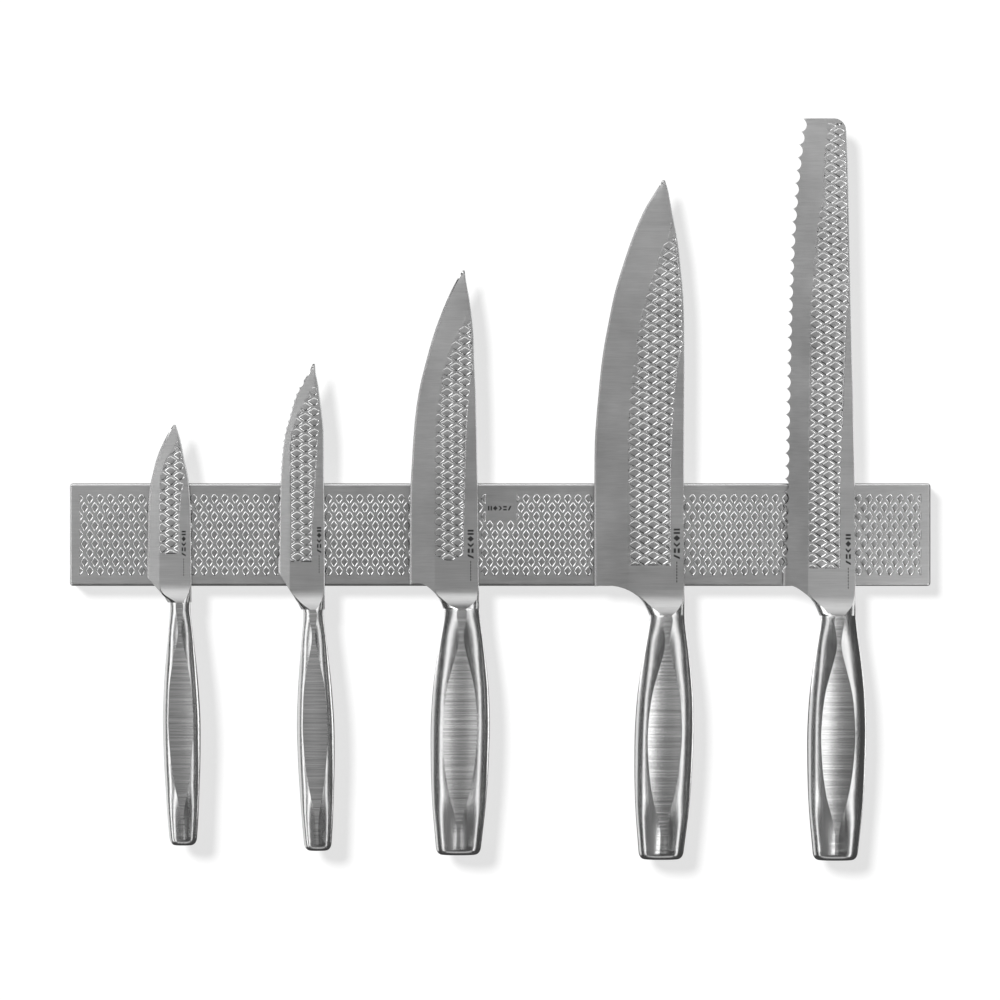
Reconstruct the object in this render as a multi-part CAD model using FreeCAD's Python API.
"""Magnetic wall rack for kitchen knives, loaded with five all-steel knives. Units are millimetres.

Frame: +Z is up, the wall is the plane y = 0 and the rack's front faces -Y. The origin is the middle
of the rail's back. Each knife hangs edge to the left and handle down, flat against the rail.
"""
import FreeCAD, Part
import os
from math import sqrt

# ---- rail ----
RAIL_WIDTH = 420.0
RAIL_HEIGHT = 50.0
RAIL_FRONT = 13.6
SHEET = 0.8
FOLD_RADIUS = 1.2
CORNER_RADIUS = 1.5
BACK_PLATE_GAP = 0.2
BACK_PLATE_THICK = 2.0
TRAY_WIDTH = 414.0
TRAY_HEIGHT = 46.0

# ---- magnet circuit behind the cover ----
CIRCUIT_WIDTH = 400.0
CIRCUIT_HEIGHT = 24.0
CIRCUIT_DEPTH = 6.2
POLE_HEIGHT = 3.0
KEEPER_THICK = 1.4
MAGNET_LENGTH = 24.0
MAGNET_CENTRES = [-185.0, -117.0, -91.0, -65.0, -39.0, -13.0, 13.0, 39.0, 65.0, 91.0, 117.0, 185.0]

# ---- keyholes for the two wall screws ----
KEYHOLE_SPACING = 300.0
KEYHOLE_ENTRY_RADIUS = 4.5
KEYHOLE_SLOT_RADIUS = 2.3
KEYHOLE_ENTRY_Z = -4.0
KEYHOLE_SLOT_Z = 5.0
KEYHOLE_PLATE = (34.0, 1.5, 22.0)
KEYHOLE_WINDOW = (20.0, 18.0)
RIVET_OFFSET = 13.5
RIVET_RADIUS = 1.5
RIVET_HEAD_RADIUS = 2.6
RIVET_HEAD = 0.8

# ---- screws that hold the back plate to the tray ----
SCREW_XS = [-195.0, -100.0, 0.0, 100.0, 195.0]
SCREW_Z = 17.5
SCREW_RADIUS = 1.4
SCREW_HEAD_RADIUS = 2.8
SCREW_HEAD = 1.2
SCREW_LENGTH = 8.0
SCREW_DRIVE = (3.2, 0.6, 0.6)
RECESS_DEPTH = 8.0
RECESS_HEIGHT = 6.5
RECESS_WIDTH = 80.0

# ---- cutters: how far past a plate they run, and sizes that reach right through a knife ----
CUT_OVERRUN = 1.0
CUT_DEPTH = 40.0
SLAB = 500.0

# ---- knives: common to all five ----
BLADE_BACK = 14.35
EDGE_HALF = 0.06
MICRO_BEVEL_WIDTH = 0.9
MICRO_BEVEL_HALF = 0.3
SPINE_CHAMFER = 0.35
TIP_THINNING = 0.3
THINNING_STARTS_Z = 30.0
BLADE_STATIONS = 22
STATION_CROWDING = 1.4
SHELL_WALL = 1.2
CORE_CLEARANCE = 0.2
TANG_WIDTH = 7.0
TANG_CLEARANCE = 0.1
CAP_LENGTH = 4.5
CAP_ROUND = [(0.0, 0.0), (0.45, 0.1), (0.75, 0.6), (0.92, 1.3), (1.0, 2.2)]
GRIP_STATIONS = 14
SHOULDER_FULLNESS = 0.64
FACET_CROWN_RADIUS = 90.0

# Grip profiles from neck to butt. Each row: share of the length, half width, half thickness,
# half width of the facet down the middle, and the share of the half thickness that a shoulder
# slopes away.
LARGE_GRIP = [
    (0.00, 8.5, 5.6, 1.9, 0.58),
    (0.07, 9.4, 6.4, 1.6, 0.55),
    (0.14, 10.7, 7.1, 1.3, 0.50),
    (0.22, 12.1, 7.7, 3.7, 0.42),
    (0.34, 13.7, 8.1, 7.0, 0.35),
    (0.49, 14.4, 8.3, 8.3, 0.35),
    (0.63, 14.1, 8.2, 7.3, 0.35),
    (0.77, 13.3, 8.0, 4.4, 0.38),
    (0.88, 12.1, 7.8, 1.0, 0.14),
    (1.00, 10.6, 7.3, 0.8, 0.04),
]
SMALL_GRIP = [
    (0.00, 5.0, 4.2, 1.4, 0.50),
    (0.07, 5.3, 4.7, 1.2, 0.48),
    (0.14, 6.2, 5.3, 1.0, 0.45),
    (0.22, 7.1, 5.9, 2.9, 0.40),
    (0.34, 8.3, 6.4, 5.2, 0.35),
    (0.50, 9.1, 6.7, 6.0, 0.35),
    (0.63, 8.9, 6.6, 5.2, 0.35),
    (0.77, 8.2, 6.4, 2.9, 0.38),
    (0.88, 7.5, 6.2, 0.7, 0.14),
    (1.00, 6.4, 5.8, 0.6, 0.04),
]

# ---- knives: one entry each ----
# axis_x: the handle's axis along the rail. blade: rows of z, then x of the edge, of the line where
# the edge bevel starts and of the spine, all x measured from axis_x, tip first, heel last.
# heel: x and z points of the heel's outline, from the edge to the neck; round_heel: whether it is a
# curve or straight cuts. neck_z and butt_z: the ends of the grip. lean: how far the grip's middle
# shifts from neck to butt.
KNIVES = {
    "paring": {
        "axis_x": -155.0,
        "thick": 1.6,
        "blade": [
            (53.5, -4.2, -3.7, -3.2),
            (49.0, -7.1, -2.4, -1.7),
            (45.0, -9.1, -2.6, -0.6),
            (41.0, -11.0, -5.2, 0.2),
            (36.0, -12.8, -8.2, 1.1),
            (30.0, -14.3, -10.0, 2.5),
            (23.0, -15.8, -10.8, 3.4),
            (10.0, -16.6, -11.0, 4.2),
            (-20.6, -17.1, -11.0, 4.5),
        ],
        "heel": [(-17.1, -20.6), (-12.7, -25.6), (-8.4, -30.5), (-6.8, -33.2), (-6.1, -36.5)],
        "round_heel": False,
        "flare_z": -23.0,
        "neck_z": -33.0,
        "butt_z": -151.2,
        "neck_centre": -1.0,
        "lean": 1.6,
        "grip": SMALL_GRIP,
    },
    "tomato": {
        "axis_x": -89.9,
        "thick": 1.8,
        "blade": [
            (83.2, -1.4, -0.9, -0.4),
            (78.5, -3.6, -0.8, 0.0),
            (74.5, -6.3, -0.4, 1.0),
            (69.0, -9.5, -3.2, 1.7),
            (63.0, -11.5, -6.6, 2.5),
            (57.0, -13.1, -9.4, 3.2),
            (51.0, -14.9, -11.2, 3.8),
            (44.0, -16.1, -12.4, 3.9),
            (32.0, -17.2, -12.7, 3.9),
            (15.0, -17.8, -12.7, 4.2),
            (-18.2, -18.2, -12.7, 4.4),
        ],
        "heel": [(-18.2, -18.2), (-12.8, -26.8), (-8.2, -34.0), (-6.7, -37.0), (-6.3, -40.0)],
        "round_heel": False,
        "flare_z": -26.0,
        "neck_z": -36.4,
        "butt_z": -153.8,
        "neck_centre": -1.1,
        "lean": 2.2,
        "grip": SMALL_GRIP,
        "teeth": {"pitch": 3.35, "depth": 0.6, "top_z": 76.0, "bottom_z": -13.0},
    },
    "utility": {
        "axis_x": -19.6,
        "thick": 2.0,
        "blade": [
            (128.7, 1.3, 1.8, 2.4),
            (124.0, -1.6, 2.2, 3.0),
            (116.5, -5.4, 3.4, 4.4),
            (107.5, -9.2, 3.6, 5.7),
            (97.0, -13.0, -1.6, 6.7),
            (85.0, -16.4, -6.4, 7.0),
            (70.0, -20.0, -9.9, 7.7),
            (55.0, -22.1, -11.5, 8.0),
            (38.0, -23.3, -12.1, 8.3),
            (15.0, -24.4, -12.2, 8.8),
            (-24.2, -24.5, -12.2, 9.1),
        ],
        "heel": [(-24.5, -24.2), (-17.4, -24.4), (-12.7, -28.0), (-9.9, -31.5), (-8.3, -35.5), (-7.8, -39.5)],
        "round_heel": True,
        "flare_z": -26.0,
        "neck_z": -36.0,
        "butt_z": -155.8,
        "neck_centre": 1.0,
        "lean": -1.8,
        "grip": LARGE_GRIP,
    },
    "chef": {
        "axis_x": 79.9,
        "thick": 2.3,
        "blade": [
            (172.6, -0.8, -0.2, 0.4),
            (168.0, -3.7, 1.0, 1.9),
            (160.0, -8.7, 2.3, 3.4),
            (150.0, -13.4, 3.9, 5.3),
            (140.0, -17.2, -0.2, 7.1),
            (130.0, -20.5, -3.6, 8.1),
            (118.0, -24.1, -7.9, 9.3),
            (104.0, -27.0, -11.1, 9.8),
            (88.0, -29.9, -13.5, 9.9),
            (68.0, -32.1, -16.2, 9.8),
            (42.0, -33.9, -17.2, 9.6),
            (10.0, -34.1, -17.4, 9.5),
            (-25.3, -33.9, -17.4, 9.8),
        ],
        "heel": [(-33.9, -25.3), (-22.4, -25.4), (-15.6, -28.1), (-11.2, -31.6), (-8.6, -35.6), (-7.0, -39.6)],
        "round_heel": True,
        "flare_z": -27.0,
        "neck_z": -39.2,
        "butt_z": -158.0,
        "neck_centre": 1.6,
        "lean": -3.2,
        "grip": LARGE_GRIP,
    },
    "bread": {
        "axis_x": 164.0,
        "thick": 2.3,
        "blade": [
            (202.8, -16.1, -5.2, 4.5),
            (194.5, -17.6, -5.5, 4.8),
            (185.0, -18.9, -5.9, 5.3),
            (165.0, -20.8, -7.0, 5.8),
            (140.0, -22.5, -10.3, 6.3),
            (110.0, -23.6, -12.9, 6.9),
            (70.0, -24.6, -13.6, 7.7),
            (30.0, -25.3, -14.0, 8.6),
            (-24.8, -26.1, -14.1, 9.1),
        ],
        "heel": [(-26.1, -24.8), (-21.9, -24.9), (-16.0, -28.2), (-11.8, -32.0), (-9.6, -36.0), (-8.1, -39.8)],
        "round_heel": True,
        "flare_z": -27.0,
        "neck_z": -39.4,
        "butt_z": -158.4,
        "neck_centre": 0.8,
        "lean": -1.6,
        "grip": LARGE_GRIP,
        "teeth": {"pitch": 6.27, "depth": 2.1, "top_z": 202.8, "bottom_z": -18.0},
        "tip_radius": 6.0,
    },
}


def vec(x, y, z):
    return FreeCAD.Vector(x, y, z)


def block(x0, x1, y0, y1, z0, z1):
    return Part.makeBox(x1 - x0, y1 - y0, z1 - z0, vec(x0, y0, z0))


def rod(x, z, radius, y0, y1):
    """A cylinder along Y between two depths."""
    return Part.makeCylinder(radius, y1 - y0, vec(x, y0, z), vec(0, 1, 0))


def cone(x, z, radius0, radius1, y0, y1):
    return Part.makeCone(radius0, radius1, y1 - y0, vec(x, y0, z), vec(0, 1, 0))


def curve(points):
    spline = Part.BSplineCurve()
    spline.interpolate(points)
    return spline.toShape()


def between(rows, z, column):
    """The column's value at height z, on a smooth line through rows that run from high z to low z."""
    zs = [row[0] for row in rows]
    values = [row[column] for row in rows]
    steps = [(v1 - v0) / (z1 - z0) for z0, z1, v0, v1 in zip(zs, zs[1:], values, values[1:])]
    slopes = steps[:1] + [2 * p * q / (p + q) if p * q > 0 else 0.0 for p, q in zip(steps, steps[1:])] + steps[-1:]
    z = min(max(z, zs[-1]), zs[0])
    i = max(k for k in range(len(zs) - 1) if zs[k] >= z)
    gap = zs[i + 1] - zs[i]
    t = (z - zs[i]) / gap
    start = values[i] * (1 + 2 * t) * (1 - t) ** 2 + slopes[i] * gap * t * (1 - t) ** 2
    end = values[i + 1] * t**2 * (3 - 2 * t) - slopes[i + 1] * gap * t**2 * (1 - t)
    return start + end


# ---- rail ----
def rounded_box(width, height, y0, y1, corner, fold):
    """A box whose four corners are rounded seen from the front, and whose front edges are folded round."""
    box = block(-width / 2, width / 2, y0, y1, -height / 2, height / 2)
    corners = [e for e in box.Edges if abs(e.tangentAt(e.FirstParameter).y) > 0.5]
    box = box.makeFillet(corner, corners)
    front = [e for e in box.Edges if e.BoundBox.YMax < y0 + 0.01]
    return box.makeFillet(fold, front)


def rail_cover():
    outer = rounded_box(RAIL_WIDTH, RAIL_HEIGHT, -RAIL_FRONT, -BACK_PLATE_GAP, CORNER_RADIUS, FOLD_RADIUS)
    inner_width = RAIL_WIDTH - 2 * SHEET
    inner_height = RAIL_HEIGHT - 2 * SHEET
    inner = rounded_box(inner_width, inner_height, SHEET - RAIL_FRONT, 1.0, CORNER_RADIUS - SHEET, 0.4)
    return outer.cut(inner)


def keyhole_xs():
    return [-KEYHOLE_SPACING / 2, KEYHOLE_SPACING / 2]


def keyhole(x, y0, y1):
    entry = rod(x, KEYHOLE_ENTRY_Z, KEYHOLE_ENTRY_RADIUS, y0, y1)
    top = rod(x, KEYHOLE_SLOT_Z, KEYHOLE_SLOT_RADIUS, y0, y1)
    slot = block(x - KEYHOLE_SLOT_RADIUS, x + KEYHOLE_SLOT_RADIUS, y0, y1, KEYHOLE_ENTRY_Z, KEYHOLE_SLOT_Z)
    return entry.fuse([top, slot]).removeSplitter()


def rivet_places():
    return [(x + side * RIVET_OFFSET, 0.0) for x in keyhole_xs() for side in (-1, 1)]


def screw_places():
    return [(x, z) for x in SCREW_XS for z in (-SCREW_Z, SCREW_Z)]


def back_plate():
    width = RAIL_WIDTH - 2 * SHEET - 2 * BACK_PLATE_GAP
    height = RAIL_HEIGHT - 2 * SHEET - 2 * BACK_PLATE_GAP
    plate = block(-width / 2, width / 2, -BACK_PLATE_THICK, 0, -height / 2, height / 2)
    half_w, half_h = KEYHOLE_WINDOW[0] / 2, KEYHOLE_WINDOW[1] / 2
    front = -BACK_PLATE_THICK - CUT_OVERRUN
    cuts = [block(x - half_w, x + half_w, front, CUT_OVERRUN, -half_h, half_h) for x in keyhole_xs()]
    for x, z in rivet_places():
        cuts.append(rod(x, z, RIVET_RADIUS, front, CUT_OVERRUN))
        cuts.append(rod(x, z, RIVET_HEAD_RADIUS, -RIVET_HEAD, CUT_OVERRUN))
    for x, z in screw_places():
        cuts.append(rod(x, z, SCREW_RADIUS, front, CUT_OVERRUN))
        cuts.append(cone(x, z, SCREW_RADIUS, SCREW_HEAD_RADIUS, -SCREW_HEAD, 0))
    return plate.cut(cuts)


def keyhole_plate(x):
    width, thick, height = KEYHOLE_PLATE
    y0, y1 = -BACK_PLATE_THICK - thick, -BACK_PLATE_THICK
    plate = block(x - width / 2, x + width / 2, y0, y1, -height / 2, height / 2)
    y0, y1 = y0 - CUT_OVERRUN, y1 + CUT_OVERRUN
    cuts = [keyhole(x, y0, y1)] + [rod(x + side * RIVET_OFFSET, 0, RIVET_RADIUS, y0, y1) for side in (-1, 1)]
    return plate.cut(cuts)


def rivets():
    front = -BACK_PLATE_THICK - KEYHOLE_PLATE[1]
    parts = []
    for x, z in rivet_places():
        shank = rod(x, z, RIVET_RADIUS, front, -RIVET_HEAD)
        inner_head = rod(x, z, RIVET_HEAD_RADIUS, front - RIVET_HEAD, front)
        outer_head = rod(x, z, RIVET_HEAD_RADIUS, -RIVET_HEAD, -0.1)
        parts.append(shank.fuse([inner_head, outer_head]).removeSplitter())
    return Part.makeCompound(parts)


def case_screws():
    parts = []
    long, narrow, deep = SCREW_DRIVE
    for x, z in screw_places():
        head = cone(x, z, SCREW_RADIUS, SCREW_HEAD_RADIUS, -SCREW_HEAD, 0)
        shank = rod(x, z, SCREW_RADIUS, -SCREW_LENGTH, -SCREW_HEAD)
        drive = block(x - long / 2, x + long / 2, -deep, 0, z - narrow / 2, z + narrow / 2)
        cross = block(x - narrow / 2, x + narrow / 2, -deep, 0, z - long / 2, z + long / 2)
        parts.append(head.fuse(shank).cut([drive, cross]))
    return Part.makeCompound(parts)


def circuit_front():
    return SHEET - RAIL_FRONT


def circuit_back():
    return circuit_front() + CIRCUIT_DEPTH


def magnet_tray():
    front = circuit_front()
    tray = block(-TRAY_WIDTH / 2, TRAY_WIDTH / 2, front, -BACK_PLATE_THICK, -TRAY_HEIGHT / 2, TRAY_HEIGHT / 2)
    floor = circuit_back() + KEEPER_THICK
    cuts = [block(-CIRCUIT_WIDTH / 2, CIRCUIT_WIDTH / 2, front - 1, floor, -CIRCUIT_HEIGHT / 2, CIRCUIT_HEIGHT / 2)]
    half_w, half_h = KEYHOLE_PLATE[0] / 2 + 0.5, KEYHOLE_PLATE[2] / 2 + 0.5
    cuts += [block(x - half_w, x + half_w, front, 0, -half_h, half_h) for x in keyhole_xs()]
    for left, right in zip(SCREW_XS, SCREW_XS[1:]):
        middle = (left + right) / 2
        for z in (-SCREW_Z, SCREW_Z):
            x0, x1 = middle - RECESS_WIDTH / 2, middle + RECESS_WIDTH / 2
            y0 = -BACK_PLATE_THICK - RECESS_DEPTH
            cuts.append(block(x0, x1, y0, 0, z - RECESS_HEIGHT / 2, z + RECESS_HEIGHT / 2))
    cuts += [rod(x, z, SCREW_RADIUS, -SCREW_LENGTH, 0) for x, z in screw_places()]
    return tray.cut(cuts)


def steel_keeper():
    half_w, half_h = CIRCUIT_WIDTH / 2, CIRCUIT_HEIGHT / 2
    keeper = block(-half_w, half_w, circuit_back(), circuit_back() + KEEPER_THICK, -half_h, half_h)
    window_w, window_h = KEYHOLE_WINDOW[0] / 2, KEYHOLE_WINDOW[1] / 2
    cuts = [block(x - window_w, x + window_w, -RAIL_FRONT, 0, -window_h, window_h) for x in keyhole_xs()]
    return keeper.cut(cuts)


def pole_strip(side):
    outer = side * CIRCUIT_HEIGHT / 2
    inner = side * (CIRCUIT_HEIGHT / 2 - POLE_HEIGHT)
    half_w = CIRCUIT_WIDTH / 2
    return block(-half_w, half_w, circuit_front(), circuit_back(), min(outer, inner), max(outer, inner))


def magnet(x):
    half_h = CIRCUIT_HEIGHT / 2 - POLE_HEIGHT
    half_l = MAGNET_LENGTH / 2
    return block(x - half_l, x + half_l, circuit_front(), circuit_back(), -half_h, half_h)


# ---- blades ----
def mid_plane(knife):
    return -BLADE_BACK - knife["thick"] / 2


def thickness(knife, z):
    tip = knife["blade"][0][0]
    share = max(0.0, (z - THINNING_STARTS_Z) / (tip - THINNING_STARTS_Z))
    return knife["thick"] * (1 - TIP_THINNING * share)


def blade_section(knife, z, edge, bevel, spine):
    """Ten-sided outline: fine edge, ground bevel on both faces, flat faces, chamfered spine."""
    width = spine - edge
    micro = min(MICRO_BEVEL_WIDTH, 0.15 * width)
    chamfer = min(SPINE_CHAMFER, 0.1 * width)
    half = thickness(knife, z) / 2
    front = [
        (edge, EDGE_HALF),
        (edge + micro, MICRO_BEVEL_HALF),
        (bevel, half),
        (spine - chamfer, half),
        (spine, half - chamfer),
    ]
    outline = [(x, -y) for x, y in front] + [(x, y) for x, y in reversed(front)]
    middle = mid_plane(knife)
    points = [vec(knife["axis_x"] + x, middle + y, z) for x, y in outline]
    return Part.makePolygon(points + points[:1])


def blade_plate(knife):
    """The blade from tip to heel, carried on straight below the heel as far as the neck."""
    heel_z, edge, bevel, spine = knife["blade"][-1]
    tip_z = knife["blade"][0][0]
    upper = []
    for i in range(BLADE_STATIONS + 1):
        z = tip_z - (tip_z - heel_z) * (i / BLADE_STATIONS) ** STATION_CROWDING
        upper.append(blade_section(knife, z, *[between(knife["blade"], z, column) for column in (1, 2, 3)]))
    lower = [blade_section(knife, z, edge, bevel, spine) for z in (heel_z, knife["neck_z"])]
    return Part.makeLoft(upper, True, False).fuse(Part.makeLoft(lower, True, True))


def heel_cutter(knife):
    """All that lies beyond the heel's outline, as a thick slab."""
    x0 = knife["axis_x"]
    points = [vec(x0 + x, -CUT_DEPTH, z) for x, z in knife["heel"]]
    outline = curve(points) if knife["round_heel"] else Part.makePolygon(points)
    low, far = points[-1].z - 30, points[0].x - 20
    outside = [(points[-1].x, low), (far, low), (far, points[0].z)]
    corners = [points[-1]] + [vec(x, -CUT_DEPTH, z) for x, z in outside] + [points[0]]
    face = Part.Face(Part.Wire(outline.Edges + Part.makePolygon(corners).Edges))
    return face.extrude(vec(0, CUT_DEPTH, 0))


def tooth_cutters(knife):
    """A row of round cutters whose ends meet in points along the edge."""
    teeth = knife["teeth"]
    half = teeth["pitch"] / 2
    radius = (half**2 + teeth["depth"] ** 2) / (2 * teeth["depth"])
    count = int((teeth["top_z"] - teeth["bottom_z"]) / teeth["pitch"])
    cutters = []
    for i in range(count):
        z = teeth["top_z"] - (i + 0.5) * teeth["pitch"]
        x = knife["axis_x"] + between(knife["blade"], z, 1) + teeth["depth"] - radius
        cutters.append(rod(x, z, radius, -CUT_DEPTH, 0))
    return cutters


def tip_cutter(knife):
    """The corner left outside a round of the tip on the spine side."""
    radius = knife["tip_radius"]
    tip_z, _, _, spine = knife["blade"][0]
    x, z = knife["axis_x"] + spine - radius, tip_z - radius
    corner = block(x, x + 2 * radius, -CUT_DEPTH, 0, z, z + 2 * radius)
    return corner.cut(rod(x, z, radius, -CUT_DEPTH, 0))


# ---- grips ----
def shoulder(start, corner, end):
    """A smooth arc from start to end that leaves and arrives pointing at the corner."""
    arc = Part.BezierCurve()
    towards = [start + (corner - start) * SHOULDER_FULLNESS, end + (corner - end) * SHOULDER_FULLNESS]
    arc.setPoles([start] + towards + [end])
    return arc.toShape()


def half_outline(z, centre, half_width, half_thick, facet, drop, middle, turn):
    """Edges from one side of the grip to the other over the front (turn 1) or the back (turn -1).

    A crowned facet lies between two shoulders. drop is the share of the half thickness that a
    shoulder loses as a straight slope, so a crease runs along each side of the facet.
    """
    crown = facet**2 / (2 * FACET_CROWN_RADIUS)
    y = middle - turn * half_thick
    corner_y = middle - turn * half_thick * (1 - drop)
    left, right = vec(centre - turn * facet, y, z), vec(centre + turn * facet, y, z)
    top = vec(centre, y - turn * crown, z)
    ends = [vec(centre - turn * half_width, middle, z), vec(centre + turn * half_width, middle, z)]
    corners = [vec(end.x, corner_y, z) for end in ends]
    return [shoulder(ends[0], corners[0], left), curve([left, top, right]), shoulder(right, corners[1], ends[1])]


def grip_wire(row, middle, shrink=0.0, side=None):
    """Closed outline of the grip at one height; side -1 or 1 gives only its front or back half."""
    z, centre, half_width, half_thick, facet, drop = row
    sizes = (z, centre, half_width - shrink, half_thick - shrink, facet, drop, middle)
    if side is None:
        return Part.Wire(half_outline(*sizes, 1) + half_outline(*sizes, -1))
    edges = half_outline(*sizes, -side)
    start, end = edges[0].Vertexes[0].Point, edges[-1].Vertexes[-1].Point
    return Part.Wire(edges + [Part.LineSegment(end, start).toShape()])


def grip_rows(knife):
    """Rows of z, centre and the four section sizes, down the whole grip."""
    length = knife["neck_z"] - knife["butt_z"]
    rows = []
    for share, *sizes in knife["grip"]:
        centre = knife["axis_x"] + knife["neck_centre"] + share * knife["lean"]
        rows.append((knife["neck_z"] - share * length, centre, *sizes))
    return rows


def grip_row(knife, z):
    rows = grip_rows(knife)
    return [z] + [between(rows, z, column) for column in (1, 2, 3, 4, 5)]


def grip_solid(knife, shrink=0.0, side=None):
    """The grip from neck to cap: its outer form, one shrunk inside it, or half of either."""
    top, bottom = knife["neck_z"], cap_z(knife)
    wires = []
    for i in range(GRIP_STATIONS + 1):
        z = top - (top - bottom) * i / GRIP_STATIONS
        wires.append(grip_wire(grip_row(knife, z), mid_plane(knife), shrink, side))
    return Part.makeLoft(wires, True, False)


def cap_z(knife):
    return knife["butt_z"] + CAP_LENGTH


def handle_shell(knife, side):
    """Half of the hollow steel handle: side -1 is the front half, side 1 the wall side."""
    return grip_solid(knife, 0.0, side).cut(grip_solid(knife, SHELL_WALL))


def tang_length(knife):
    return 0.5 * (knife["neck_z"] - knife["butt_z"])


def tang(knife, clearance=0.0):
    x = knife["axis_x"] + knife["neck_centre"]
    half_w = min(TANG_WIDTH, 2 * knife["grip"][0][1] - 4.5) / 2 + clearance
    half_t = knife["thick"] / 2 + clearance
    middle = mid_plane(knife)
    low = knife["neck_z"] - tang_length(knife) - clearance
    return block(x - half_w, x + half_w, middle - half_t, middle + half_t, low, knife["neck_z"] + 1)


def handle_core(knife):
    """The balancing filling inside the handle, slotted for the tang."""
    return grip_solid(knife, SHELL_WALL + CORE_CLEARANCE).cut(tang(knife, TANG_CLEARANCE))


def butt_cap(knife):
    """The closing cap, its outline drawn in as a quarter round towards the flat end."""
    wires = []
    for share, shrink in CAP_ROUND:
        row = grip_row(knife, cap_z(knife) - share * CAP_LENGTH)
        wires.append(grip_wire(row, mid_plane(knife), shrink))
    return Part.makeLoft(wires, True, False)


def bolster(knife):
    """The neck between blade and grip: a rounded body clipped to a flare that starts at blade thickness."""
    middle = mid_plane(knife)
    neck_z, flare_z = knife["neck_z"], knife["flare_z"]
    heel_z, _, bevel, spine = knife["blade"][-1]
    _, centre, half_width, half_thick, facet, drop = grip_rows(knife)[0]
    outline = [(z, x) for x, z in knife["heel"]]
    rows = []
    for share in (0.0, 0.2, 0.4, 0.6, 0.8, 1.0):
        z = heel_z + share * (neck_z - heel_z)
        left = max(bevel, between(outline, z, 1)) + knife["axis_x"]
        right = knife["axis_x"] + spine + share * (centre + half_width - knife["axis_x"] - spine)
        if share == 1.0:
            left, right = centre - half_width, centre + half_width
        rows.append((z, (left + right) / 2, (right - left) / 2, half_thick, facet, drop))
    body = Part.makeLoft([grip_wire(row, middle) for row in rows], True, False)
    run, rise = flare_z - neck_z, half_thick - knife["thick"] / 2
    radius = (run**2 + rise**2) / (2 * rise)
    half_run = run / 2
    half_rise = radius - sqrt(radius**2 - half_run**2)
    beside = -SLAB / 2
    flare = []
    for side in (-1, 1):
        start = vec(beside, middle + side * knife["thick"] / 2, flare_z)
        bend = vec(beside, middle + side * (knife["thick"] / 2 + half_rise), flare_z - half_run)
        end = vec(beside, middle + side * half_thick, neck_z)
        flare.append(Part.Arc(start, bend, end).toShape())
    half_thin = knife["thick"] / 2
    plain = [(-half_thin, flare_z), (-half_thin, heel_z + 1), (half_thin, heel_z + 1), (half_thin, flare_z)]
    top = [vec(beside, middle + y, z) for y, z in plain]
    low = [vec(beside, middle + side * half_thick, neck_z) for side in (-1, 1)]
    edges = Part.makePolygon(top).Edges + flare + Part.makePolygon(low).Edges
    face = Part.Face(Part.Wire(Part.sortEdges(edges)[0]))
    return body.common(face.extrude(vec(SLAB, 0, 0)))


def blade(knife):
    """One forging: blade, flared bolster and tang."""
    plate = blade_plate(knife).cut(heel_cutter(knife))
    if "teeth" in knife:
        plate = plate.cut(tooth_cutters(knife))
    if "tip_radius" in knife:
        plate = plate.cut(tip_cutter(knife))
    return plate.fuse([bolster(knife), tang(knife)]).removeSplitter()


def build():
    nodes = {
        "rail_cover": rail_cover(),
        "back_plate": back_plate(),
        "magnet_tray": magnet_tray(),
        "steel_keeper": steel_keeper(),
        "pole_strip_upper": pole_strip(1),
        "pole_strip_lower": pole_strip(-1),
        "keyhole_plate_left": keyhole_plate(-KEYHOLE_SPACING / 2),
        "keyhole_plate_right": keyhole_plate(KEYHOLE_SPACING / 2),
        "rivets": rivets(),
        "case_screws": case_screws(),
    }
    for number, x in enumerate(MAGNET_CENTRES, 1):
        nodes[f"magnet_{number:02d}"] = magnet(x)
    for name, knife in KNIVES.items():
        nodes[f"{name}_blade"] = blade(knife)
        nodes[f"{name}_handle_front"] = handle_shell(knife, -1)
        nodes[f"{name}_handle_back"] = handle_shell(knife, 1)
        nodes[f"{name}_handle_core"] = handle_core(knife)
        nodes[f"{name}_butt_cap"] = butt_cap(knife)
    return nodes


os.makedirs("parts", exist_ok=True)
for node, shape in build().items():
    shape.exportStep(f"parts/{node}.step")
